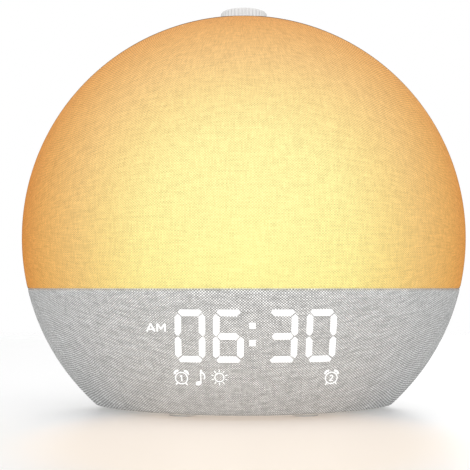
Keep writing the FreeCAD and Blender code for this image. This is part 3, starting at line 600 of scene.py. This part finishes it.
def base_cloth_material():
    material, n, shader = blank("grey linen")
    weave = woven(n)
    yarn = use_group(n, heather_group(), Slub=weave["Slub"], Holes=weave["Holes"], Over=weave["Over"],
                     Speck=weave["Speck"])
    dress(n, shader, {"Base Color": yarn["Color"], "Roughness": 0.92, "Specular IOR Level": 0.15,
                      "Sheen Weight": 0.06})
    bump(n, weave["Height"], shader, 0.7, 0.14 * MM)
    return material


grey_linen = base_cloth_material()
print("material:", grey_linen.name)


# %% [markdown]
# Each cloth is stretched over its shell. A round grid pulled over the ball would be quicker to make, but
# the seam cuts straight across it. The skin is swept as level rows instead, from the seam or the foot
# upwards, so both edges are straight. A row is an arc of the ball from rim to rim. The skin has an outer
# and an inner face, and all round its edge the outer face sinks by about half a millimetre, which gives
# the small rounded hem that one sees from the side.

# %% Level rows of the ball
hem_r = 0.45 * MM
cloth_t = 0.8 * MM
columns = 120
wide = columns + 1


def row_arc(z):
    """A level row's radius, seen from above, and its half angle from the middle to the rim."""
    across = math.sqrt(max(ball_r ** 2 - (z - ball.z) ** 2, 1e-12))
    return across, math.acos(min((ball.y - rim_y) / across, 1.0))


print("the seam's row turns through", round(math.degrees(2 * row_arc(seam_z)[1]), 1), "degrees")


# %% Points and faces of a cloth skin
def skin_points(levels):
    """The points of the outer face and then of the inner one, row by row."""
    points = []
    for layer in (0.0, -cloth_t):
        for i, level in enumerate(levels):
            z = ball.z + ball_r * math.sin(level)
            across, half = row_arc(z)
            for j in range(wide):
                a = half * (2 * j / columns - 1)
                outward = Vector((across * math.sin(a), -across * math.cos(a), z - ball.z)).normalized()
                at_edge = i in (0, len(levels) - 1) or j in (0, columns)
                sink = hem_r if at_edge and layer == 0.0 else 0.0
                points.append(ball + outward * (ball_r + layer - sink))
    return points


def skin_faces(rows):
    """Quads for both faces, and for the strip that joins them all round the edge."""
    size = (rows + 1) * wide
    faces = []
    for a in (i * wide + j for i in range(rows) for j in range(columns)):
        b = a + size
        faces += [(a, a + 1, a + 1 + wide, a + wide), (b, b + wide, b + 1 + wide, b + 1)]
    edge = list(range(wide)) + [i * wide + columns for i in range(1, rows + 1)]
    edge += [rows * wide + j for j in range(columns - 1, -1, -1)]
    edge += [i * wide for i in range(rows - 1, 0, -1)]
    faces += [(a, a + size, b + size, b) for a, b in zip(edge, edge[1:] + edge[:1])]
    return faces


# %% [markdown]
# At the top of the rim the rows get so short that their points almost meet. They are merged there, as a
# sewer would gather the last threads, so that no sliver of a face is left.

# %% Sweep the two cloths
merge_reach = 0.02 * MM
top_clearance = 0.02 * MM
half_seam = (skin_low.z - base_high.z) / 2


def cloth_skin(name, low, high, rows):
    """A cloth of real thickness between two heights."""
    low_a, high_a = math.asin((low - ball.z) / ball_r), math.asin((high - ball.z) / ball_r)
    levels = [low_a + (high_a - low_a) * i / rows for i in range(rows + 1)]
    skin = mesh_object(name, skin_points(levels), skin_faces(rows))
    map_to_cloth(skin)
    work = bmesh.new()
    work.from_mesh(skin.data)
    bmesh.ops.remove_doubles(work, verts=work.verts, dist=merge_reach)
    work.to_mesh(skin.data)
    work.free()
    skin.data.update()
    return skin


lamp_skin = cloth_skin("lamp_cloth_woven", seam_z + half_seam, rim_z + rim_radius - top_clearance, 130)
base_skin = cloth_skin("base_cloth_woven", foot_z, seam_z - half_seam, 56)
lamp_skin.data.materials.append(lit_linen)
base_skin.data.materials.append(grey_linen)
for skin, node in ((lamp_skin, "lamp_cloth"), (base_skin, "base_cloth")):
    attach(skin, "housing")
    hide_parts(node)
print("cloth faces", len(lamp_skin.data.polygons), len(base_skin.data.polygons))


# %% [markdown]


# %% [markdown]
# The display sits behind the grey cloth, and its light prints sharp white signs on the weave. They could
# be painted in the cloth's material with many nodes. It is simpler to lay them on the cloth as thin
# skins: a sign is a flat outline in width and height, cut into short pieces so that it can follow the
# dome, and laid a hair above the weave. Its light still shows the threads and the holes between them.

# %% Light of the display on the weave
lit_thread, lit_hole = (1.0, 1.0, 1.0, 1), (0.62, 0.62, 0.60, 1)


def sign_light_group():
    g = Group("light in threads", [("Holes", "number", 0.5)], [("Color", "colour"), ("Cloth", "colour")])
    threads = g.mix(g.times(g.given("Holes"), 0.30), lit_thread, lit_hole)
    g.give("Color", threads)
    # The sign's base colour is its painted light scaled down.
    g.give("Cloth", g.mix(0.62, threads, (0.0, 0.0, 0.0, 1)))
    return g.tree


def sign_material():
    material, n, shader = blank("display light")
    weave = woven(n)
    light = use_group(n, sign_light_group(), Holes=weave["Holes"])
    dress(n, shader, {"Base Color": light["Cloth"], "Emission Color": light["Color"],
                      "Emission Strength": light_through, "Roughness": 0.9})
    bump(n, weave["Height"], shader, 0.4, 0.1 * MM)
    return material


display_light = sign_material()
print("material:", display_light.name)


# %% [markdown]
# Signs are drawn from four kinds of outline: strokes along a path, a tilted oval, a ring or a part of
# one, and an upright block. Each gives a list of polygons in millimetres, so that lists can be added up.

# %% Outlines for signs
def strip(path, width):
    """Quads along a path of (x, z) points, with a given width."""
    quads = []
    for (x0, z0), (x1, z1) in zip(path, path[1:]):
        length = math.hypot(x1 - x0, z1 - z0)
        sx, sz = -(z1 - z0) / length * width / 2, (x1 - x0) / length * width / 2
        quads.append([(x0 + sx, z0 + sz), (x0 - sx, z0 - sz), (x1 - sx, z1 - sz), (x1 + sx, z1 + sz)])
    return quads


def oval(x, z, r, squash, tilt, sides=20):
    turns = [2 * math.pi * i / sides for i in range(sides)]
    level = [(r * math.cos(a), r * squash * math.sin(a)) for a in turns]
    c, s = math.cos(tilt), math.sin(tilt)
    return [[(x + a * c - b * s, z + a * s + b * c) for a, b in level]]


def ring(x, z, r, width, start=0.0, end=2 * math.pi, sides=32):
    turns = [start + (end - start) * i / sides for i in range(sides + 1)]
    outer, inner = ([(x + at * math.cos(a), z + at * math.sin(a)) for a in turns]
                    for at in (r + width / 2, r - width / 2))
    return [[outer[i], inner[i], inner[i + 1], outer[i + 1]] for i in range(sides)]


def block(x0, x1, z0, z1):
    return [[(x0, z0), (x1, z0), (x1, z1), (x0, z1)]]


# %% Lay a sign on the dome
sign_lift = 0.07 * MM
longest_edge = 3 * MM


def follow_dome(mesh):
    """Cuts long edges, drops every point onto the dome and turns all faces outwards."""
    work = bmesh.new()
    work.from_mesh(mesh)
    bmesh.ops.remove_doubles(work, verts=work.verts, dist=0.01 * MM)
    bmesh.ops.triangulate(work, faces=[f for f in work.faces if len(f.verts) > 4])
    long_edges = [e for e in work.edges if e.calc_length() > longest_edge]
    bmesh.ops.subdivide_edges(work, edges=long_edges, cuts=2, use_grid_fill=True)
    for v in work.verts:
        v.co = dome_point(v.co.x, v.co.z, sign_lift)
    bmesh.ops.recalc_face_normals(work, faces=work.faces)
    if sum(f.normal.y for f in work.faces) > 0:
        bmesh.ops.reverse_faces(work, faces=work.faces)
    work.to_mesh(mesh)
    work.free()


def lay_sign(name, polygons):
    """Lays flat polygons, in millimetres of width and height, on the dome as a thin lit skin."""
    points, faces = [], []
    for polygon in polygons:
        faces.append(tuple(range(len(points), len(points) + len(polygon))))
        points += [dome_point(x * MM, z * MM, sign_lift) for x, z in polygon]
    sign = mesh_object(name, points, faces, smooth=False)
    follow_dome(sign.data)
    map_to_cloth(sign)
    sign.data.materials.append(display_light)
    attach(sign, "housing")
    print("laid", name, "with", len(sign.data.polygons), "faces")


# %% [markdown]
# A digit has seven bars, named a to g as display makers do: a on top, then b and c down the right side,
# d at the foot, e and f up the left side, and g across the middle. They are laid out from the digit's
# height, width and stroke. Neighbours meet with a thin dark line between them, and the outer corners are
# clipped. Only a, f and g are drawn, and the others are their mirror images. The digit leans slightly.

# %% Bars of a digit
digit_h, digit_w, stroke, lean = 19.6, 11.2, 2.4, 0.010
bar_gap = 0.32
corner_across, corner_down = 1.9, 2.7
end_clip = 0.75
waist_cut, waist_gap = 1.05, 0.9 * bar_gap
middle_point = 0.75
LIT = {"0": "abcdef", "3": "abgcd", "6": "afgedc"}
MIRRORED = {"d": ("a", 1, -1), "b": ("f", -1, 1), "e": ("f", 1, -1), "c": ("f", -1, -1)}


def bar_outline(bar):
    """A bar as a polygon in a digit's own frame, x to the right and z up from its middle."""
    w, h, s, e = digit_w / 2, digit_h / 2, stroke, bar_gap
    out_x, out_z = -w + corner_across / 2, h - corner_down / 2
    if bar in MIRRORED:
        drawn_bar, flip_x, flip_z = MIRRORED[bar]
        return [(x * flip_x, z * flip_z) for x, z in bar_outline(drawn_bar)]
    if bar == "f":
        return [(out_x, out_z - e), (-w + s, h - s - e), (-w + s, s / 2 + e), (-w + s - waist_cut, waist_gap),
                (-w + end_clip, waist_gap), (-w, end_clip + e), (-w, h - corner_down)]
    if bar == "a":
        left = [(-w + s + e, h - s), (out_x + e, out_z + e), (-w + corner_across, h)]
    else:
        left = [(-w + s + e, -s / 2), (-w + s - middle_point, 0.0), (-w + s + e, s / 2)]
    return left + [(-x, z) for x, z in reversed(left)]


print("corners of the drawn bars:", {bar: len(bar_outline(bar)) for bar in "afg"})


# %% The time on the display
foot_mm = foot_z / MM
digit_mid = foot_mm + 31.6
digit_rights = (-13.95, 0.05, 19.6, 33.95)
colon_left, dot = 2.0, 2.3
dot_lows = (34.4, 28.05)


def digit(figure, right_edge):
    mid = right_edge - digit_w / 2
    return [[(mid + x + lean * z, digit_mid + z) for x, z in bar_outline(bar)] for bar in LIT[figure]]


clock_face, colon = [], []
for figure, right in zip("0630", digit_rights):
    clock_face += digit(figure, right)
for dot_low in dot_lows:
    colon += block(colon_left, colon_left + dot, foot_mm + dot_low, foot_mm + dot_low + dot)
lay_sign("sign_digits", clock_face)
lay_sign("sign_colon", colon)


# %% [markdown]
# Left of the digits two small letters tell morning from evening. They are plain strokes.

# %% Half-day letters
def letter_a(x, z, w, h, s):
    return (strip([(x, z), (x + w * 0.5, z + h)], s) + strip([(x + w * 0.5, z + h), (x + w, z)], s)
            + strip([(x + w * 0.22, z + h * 0.30), (x + w * 0.78, z + h * 0.30)], s * 0.85))


def letter_m(x, z, w, h, s):
    return (strip([(x, z), (x, z + h)], s) + strip([(x + w, z), (x + w, z + h)], s)
            + strip([(x, z + h), (x + w / 2, z + h * 0.32), (x + w, z + h)], s))


letter_low = foot_mm + 33.15
letter_h, letter_stroke = 3.0, 0.62
lay_sign("sign_am", letter_a(-35.65, letter_low, 3.1, letter_h, letter_stroke)
         + letter_m(-31.65, letter_low, 2.95, letter_h, letter_stroke))


# %% [markdown]
# The row of small signs has two alarm clocks, each with its number, a note and a sun. They are drawn
# from thin strokes, as a light guide would be cut.

# %% Numbers inside the alarm clocks
thin = 0.46


def numeral(figure, x, z, h):
    """A 1 or a 2 of height h, drawn round its middle."""
    w = h * 0.5
    if figure == "1":
        return (strip([(x - w * 0.45, z + h * 0.22), (x + 0.05, z + h * 0.46)], thin)
                + block(x - 0.16, x + 0.34, z - h / 2, z + h / 2))
    return (ring(x, z + h * 0.20, w * 0.46, thin, math.pi * 0.95, -math.pi * 0.22, 10)
            + strip([(x + w * 0.38, z + h * 0.02), (x - w * 0.48, z - h * 0.38)], thin)
            + block(x - w * 0.66, x + w * 0.62, z - h / 2 - 0.02, z - h / 2 + thin * 0.95))


# %% Outlines of the small signs
def alarm_sign(x, z, figure):
    """A round clock with two bells and two feet, and its number inside."""
    face = ring(x, z - 0.15, 2.28, thin)
    for side in (-1, 1):
        bell_turn = math.radians(90 - side * 42)
        face += ring(x + side * 1.27, z + 1.52, 1.20, 0.85, bell_turn - 0.95, bell_turn + 0.95, 12)
        face += strip([(x + side * 1.55, z - 2.0), (x + side * 2.20, z - 2.85)], thin * 1.1)
    return face + numeral(figure, x, z - 0.15, 2.5)


def note_sign(x, z):
    """A note with one flag."""
    head = oval(x - 0.75, z - 2.35, 1.12, 0.78, math.radians(20))
    stem = block(x - 0.02, x + 0.42, z - 2.35, z + 3.05)
    flag = strip([(x + 0.25, z + 2.95), (x + 0.75, z + 1.85), (x + 1.55, z + 1.05), (x + 1.72, z + 0.1),
                  (x + 1.35, z - 0.75)], thin * 1.15)
    return head + stem + flag


def sun_sign(x, z, rays=10):
    """A small ring with rays round it."""
    sun = ring(x, z, 1.68, thin * 0.9)
    for i in range(rays):
        a = math.pi / 2 + 2 * math.pi * i / rays
        sun += strip([(x + r * math.cos(a), z + r * math.sin(a)) for r in (2.15, 3.15)], thin * 0.75)
    return sun


# %% Lay the small signs
sign_mid = foot_mm + 15.7
lay_sign("sign_alarm_1", alarm_sign(-23.2, sign_mid, "1"))
lay_sign("sign_note", note_sign(-16.1, sign_mid + 0.3))
lay_sign("sign_sun", sun_sign(-9.0, sign_mid + 0.35))
lay_sign("sign_alarm_2", alarm_sign(32.9, sign_mid - 0.2, "2"))


# %% [markdown]
# The knob is a white cap with even ribs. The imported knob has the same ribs, but its edges are crisp, so a
# finer one stands in for it. Its section is a list of rings, from the well under it, round its foot and
# up its side to a shallow crown. Each ring says how strong the ribs are there, and they fade into the
# rounded shoulder.

# %% Section of the knob
knob_ribs, rib_steps = 36, 10
turn = knob_ribs * rib_steps
rib_depth, shoulder, crown = 0.5 * MM, 1.3 * MM, 0.5 * MM
well_r, well_depth = 7.0 * MM, 2.4 * MM
shoulder_steps = 8


def knob_rings(radius, height):
    """The cap's rings as radius, height above its foot and strength of the ribs."""
    rings = [(well_r, well_depth, 0.0), (well_r, 0.0, 0.0), (radius - 0.5 * MM, 0.0, 0.3),
             (radius - 0.15 * MM, 0.12 * MM, 0.8), (radius, 0.4 * MM, 1.0)]
    rings += [(radius, height * share, 1.0) for share in (0.3, 0.5, 0.7)]
    for i in range(shoulder_steps + 1):
        a = math.pi / 2 * i / shoulder_steps
        rings.append((radius - shoulder * (1 - math.cos(a)), height - crown - shoulder * (1 - math.sin(a)),
                      max(math.cos(a) - 0.25, 0.0) / 0.75))
    flat = radius - shoulder
    return rings + [(flat * f, height - crown * f * f, 0.0) for f in (0.85, 0.6, 0.35, 0.12)]


print("points round the knob:", turn)


# %% Ribbed knob
def ribbed_knob(low, high):
    """Turns the section round the knob's middle, with the ribs as waves in its radius."""
    middle = (low + high) / 2
    rings = knob_rings((high.x - low.x) / 2, high.z - low.z)
    points, faces = [], []
    for r, z, rib in rings:
        for j in range(turn):
            a = 2 * math.pi * j / turn
            wave = abs(math.cos(knob_ribs * a / 2)) ** 0.7
            at = r - rib_depth * rib * (1 - wave)
            points.append((middle.x + at * math.cos(a), middle.y + at * math.sin(a), low.z + z))
    last = (len(rings) - 1) * turn
    roof, top = len(points), len(points) + 1
    points += [(middle.x, middle.y, low.z + well_depth), (middle.x, middle.y, high.z)]
    for j in range(turn):
        k = (j + 1) % turn
        faces += [(i + j, i + k, i + turn + k, i + turn + j) for i in range(0, last, turn)]
        faces += [(j, roof, k), (last + j, last + k, top)]
    return mesh_object("knob_cap", points, faces)


knob_cap = ribbed_knob(*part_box("knob"))
knob_cap.data.materials.append(moulded("white cap", (0.585, 0.578, 0.57), 3200.0, 0.03, 0.35, 0.02 * MM))
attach(knob_cap, "knob")
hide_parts("knob")
print("knob faces", len(knob_cap.data.polygons))


# %% [markdown]
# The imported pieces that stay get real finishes: the back in fine-grained white, boards in green mask,
# steel in drawn metal, pads in pale rubber and the leads in pale insulation. The record names a slot for
# each piece, and one table says which finish each slot gets. For plastics it gives the tone, the grain's
# scale, the tone's drift, the gloss and, where it isn't the usual one, the grain's depth.

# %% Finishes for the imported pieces
FINISH = {
    "cover_plastic": moulded("cover white", (0.80, 0.80, 0.785), 2600.0, 0.03, 0.45, 0.03 * MM),
    "white_plastic": moulded("inner white", (0.84, 0.84, 0.82), 1800.0, 0.05, 0.4),
    "milky_plastic": moulded("milky diffuser", (0.86, 0.85, 0.80), 900.0, 0.06, 0.5),
    "knob_plastic": moulded("button white", (0.84, 0.84, 0.83), 3200.0, 0.02, 0.5, 0.02 * MM),
    "black_plastic": moulded("matt black", (0.035, 0.035, 0.037), 2200.0, 0.2, 0.4),
    "rubber": moulded("pad rubber", (0.52, 0.52, 0.51), 1500.0, 0.1, 0.25),
    "board": moulded("solder mask", (0.02, 0.14, 0.07), 700.0, 0.3, 0.6),
    "chips": moulded("chip phosphor", (0.80, 0.66, 0.22), 2500.0, 0.2, 0.5),
    "paper_cone": moulded("pressed pulp", (0.03, 0.03, 0.03), 1200.0, 0.4, 0.2),
    "lead": moulded("lead insulation", (0.62, 0.62, 0.60), 1600.0, 0.1, 0.4),
    "steel": metal("drawn steel", (0.60, 0.60, 0.61)),
    "screws": metal("plated screws", (0.52, 0.52, 0.53), 30.0),
    "lamp_cloth": lit_linen,
    "base_cloth": grey_linen,
}
slots = {s["node"]: s["material_slot"] for s in frame["record"]["subparts"]}
for name, node in frame["nodes"].items():
    node.data.materials.clear()
    node.data.materials.append(FINISH[slots[name]])
print("finished", len(frame["nodes"]), "packed pieces")


# %% [markdown]
# The clock stands on a pale satin table before plain white. The table keeps the clock's soft shadow, and
# far out it fades into the white. It glows faintly, as a light table does, so that the shadow stays pale.
# The lamp lights a warm disc of it in front of the clock. That disc is painted, as the lamp's glow is.

# %% Table
fade_end, fade_start = 0.9, 0.45
pool_middle = (0.0, rim_y - 85 * MM, 0.0)
pool_squeeze = (1.2, 1.0, 1.0)
pool_edge, pool_core = 104 * MM, 64 * MM
plain_glow, warm_glow = (0.74, 0.74, 0.74, 1), (1.13, 1.02, 0.93, 1)
grey_low, grey_high, painted_pool_top = (0.69, 0.69, 0.69, 1), (0.71, 0.71, 0.71, 1), (0.70, 0.63, 0.565, 1)


def table_material():
    """A pale satin top that fades out into the white round it."""
    material, n, shader = blank("pale table")
    coordinates = n.node("ShaderNodeTexCoord").outputs
    place = coordinates["Object"]
    tones = n.mix(n.noise(coordinates["Generated"], 3.0), grey_low, grey_high)
    fade = n.between(n.distance(place, (0.0, 0.0, 0.0)), fade_end, fade_start, smooth=True)
    from_pool = n.distance(n.product(place, pool_squeeze), pool_middle)
    pool = n.between(from_pool, pool_edge, pool_core, smooth=True)
    # Base colour and emission carry the painted pool of warm lamp light in front of the clock.
    dress(n, shader, {"Alpha": fade, "Base Color": n.mix(pool, tones, painted_pool_top),
                      "Emission Color": n.mix(pool, plain_glow, warm_glow), "Emission Strength": 0.25,
                      "Roughness": 0.40, "Specular IOR Level": 0.5})
    return material


floor = mesh_object("table", [(-3, -3, 0), (3, -3, 0), (3, 3, 0), (-3, 3, 0)], [(0, 1, 2, 3)], smooth=False)
floor.data.materials.append(table_material())
print("table laid at z = 0")


# %% [markdown]
# The white behind the clock comes from the world as the camera, a gloss or a clear piece sees it, where
# a strength of 1 is white. All other rays meet a weaker white, which is the soft fill light of the studio,
# so the background can be white without more light on the clock.

# %% World
fill_strength = 0.54


def background(n, strength):
    made = n.node("ShaderNodeBackground")
    return n.feed(made, (1.0, 1.0, 1.0, 1.0), strength)


world = bpy.data.worlds.new("studio")
bpy.context.scene.world = world
world.use_nodes = True
world.node_tree.nodes.clear()
studio = Nodes(world.node_tree)
rays = studio.node("ShaderNodeLightPath").outputs
seen = studio.math("MAXIMUM", rays["Is Camera Ray"], rays["Is Glossy Ray"])
seen = studio.math("MAXIMUM", seen, rays["Is Transmission Ray"])
chosen = studio.feed(studio.node("ShaderNodeMixShader"), seen, background(studio, fill_strength),
                     background(studio, 1.0))
studio.join(chosen, studio.node("ShaderNodeOutputWorld").inputs[0])
print("world:", world.name, "fill", fill_strength)


# %% [markdown]
# Three large soft lamps light the clock evenly. The front one does most, the top one rounds the dome and
# the knob, and the back one keeps the rear from going dull.

# %% Lamps
clock_middle = Vector((0.0, 0.0, 0.08))


def soft_light(name, place, size, power):
    light = bpy.data.lights.new(name, "AREA")
    light.shape = "DISK"
    light.size = size
    light.energy = power
    lamp = link(bpy.data.objects.new(name, light))
    lamp.location = place
    lamp.rotation_euler = (clock_middle - Vector(place)).to_track_quat("-Z", "Y").to_euler()
    print(name, "of", power, "W")


soft_light("front light", (0.0, -1.6, 0.10), 0.9, 18.5)
soft_light("top light", (0.0, -0.5, 1.4), 1.6, 10.0)
soft_light("back light", (0.2, 1.5, 1.0), 1.0, 6.0)

# %% [markdown]
# The camera is level with the cloth seam, because the seam shows as a straight line. Its shift lowers the
# horizon in the frame, as the photograph has it. The frame's width, the focal length, the clock's middle
# and the horizon are counted in the photograph's pixels.

# %% Camera
frame_px = 470.0
focal_px = 1050.0
centre_px = 243.77
horizon_px = 287.0
sensor = 36.0
camera_ahead, camera_rise = 436 * MM, 49.5 * MM
camera_data = bpy.data.cameras.new("camera")
camera_data.sensor_width = sensor
camera_data.lens = focal_px / frame_px * sensor
camera_data.shift_x = (frame_px / 2 - centre_px) / frame_px
camera_data.shift_y = (horizon_px - frame_px / 2) / frame_px
camera = link(bpy.data.objects.new("camera", camera_data))
camera.location = (0.0, rim_y - camera_ahead, foot_z + camera_rise)
camera.rotation_euler = (math.pi / 2, 0.0, 0.0)
bpy.context.scene.camera = camera
bpy.context.scene.view_settings.view_transform = "Standard"
print("camera at", [round(v, 3) for v in camera.location])
